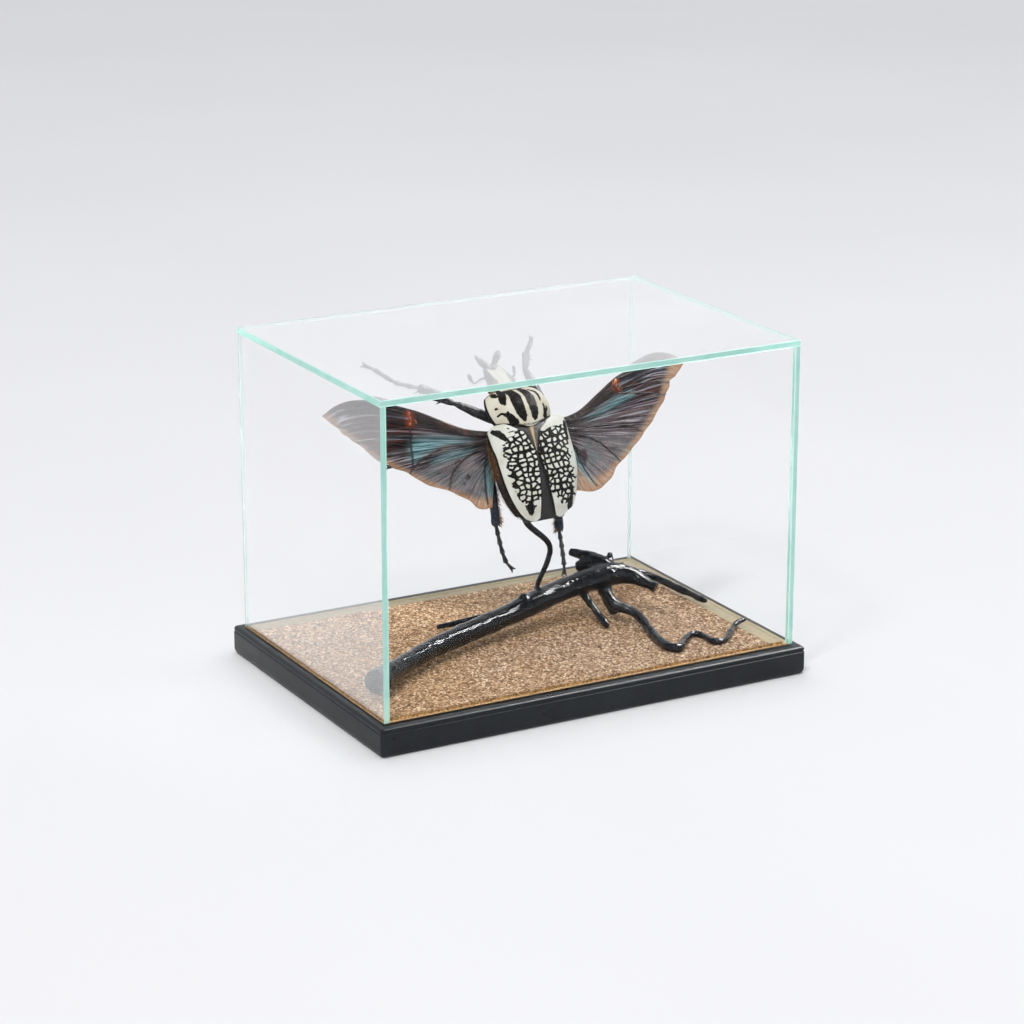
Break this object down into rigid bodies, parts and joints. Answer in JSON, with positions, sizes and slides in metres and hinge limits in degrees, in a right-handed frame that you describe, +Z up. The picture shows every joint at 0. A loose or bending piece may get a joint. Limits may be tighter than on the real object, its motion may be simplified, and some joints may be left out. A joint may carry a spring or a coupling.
{
  "type": "goliath beetle display specimen",
  "caption": "Large cream and black beetle posed in flight on a wire above a lacquered branch, with cork ground, in a glass case on a black base.",
  "frame": {"origin": "middle of the base's flat underside, on the surface it stands on", "axes": "+Z up, +X to the right along the case's long front, +Y towards the case's back; the beetle's back faces the front"},
  "size_m": [0.25, 0.177, 0.1805],
  "materials": {
    "lacquer_black": "satin black lacquer",
    "board_beige": "bare beige board",
    "cork": "granulated cork, matte",
    "case_glass": "clear glass with polished edges",
    "branch_black": "thick gloss black lacquer",
    "wire_black": "gloss black paint",
    "shell_cream": "velvety cream cuticle with black marks",
    "shell_black": "satin black cuticle",
    "head_white": "chalky white cuticle",
    "horn_black": "glossy black cuticle",
    "eye_brown": "glossy dark brown",
    "wing_smoke": "smoky iridescent membrane",
    "leg_black": "glossy black cuticle"
  },
  "bodies": {
    "root": {"abdomen": "shell_black", "antenna_left": "horn_black", "antenna_right": "horn_black", "base_plinth": "lacquer_black", "branch": "branch_black", "elytron_left": "shell_cream", "elytron_right": "shell_cream", "eye_left": "eye_brown", "eye_right": "eye_brown", "fore_femur_left": "leg_black", "fore_femur_right": "leg_black", "fore_tarsus_left": "leg_black", "fore_tarsus_right": "leg_black", "fore_tibia_left": "leg_black", "fore_tibia_right": "leg_black", "glass_back": "case_glass", "glass_front": "case_glass", "glass_left": "case_glass", "glass_right": "case_glass", "glass_top": "case_glass", "ground_board": "board_beige", "ground_cork": "cork", "head": "head_white", "hind_femur_left": "leg_black", "hind_femur_right": "leg_black", "hind_tarsus_left": "leg_black", "hind_tarsus_right": "leg_black", "hind_tibia_left": "leg_black", "hind_tibia_right": "leg_black", "hindwing_left": "wing_smoke", "hindwing_right": "wing_smoke", "horn": "horn_black", "mid_femur_left": "leg_black", "mid_femur_right": "leg_black", "mid_tarsus_left": "leg_black", "mid_tarsus_right": "leg_black", "mid_tibia_left": "leg_black", "mid_tibia_right": "leg_black", "pronotum": "shell_cream", "prothorax": "shell_black", "scutellum": "shell_black", "support_wire": "wire_black", "thorax": "shell_black", "twig_back": "branch_black", "twig_drop": "branch_black", "twig_long": "branch_black", "twig_rear": "branch_black", "twig_short": "branch_black"}
  },
  "joints": []
}
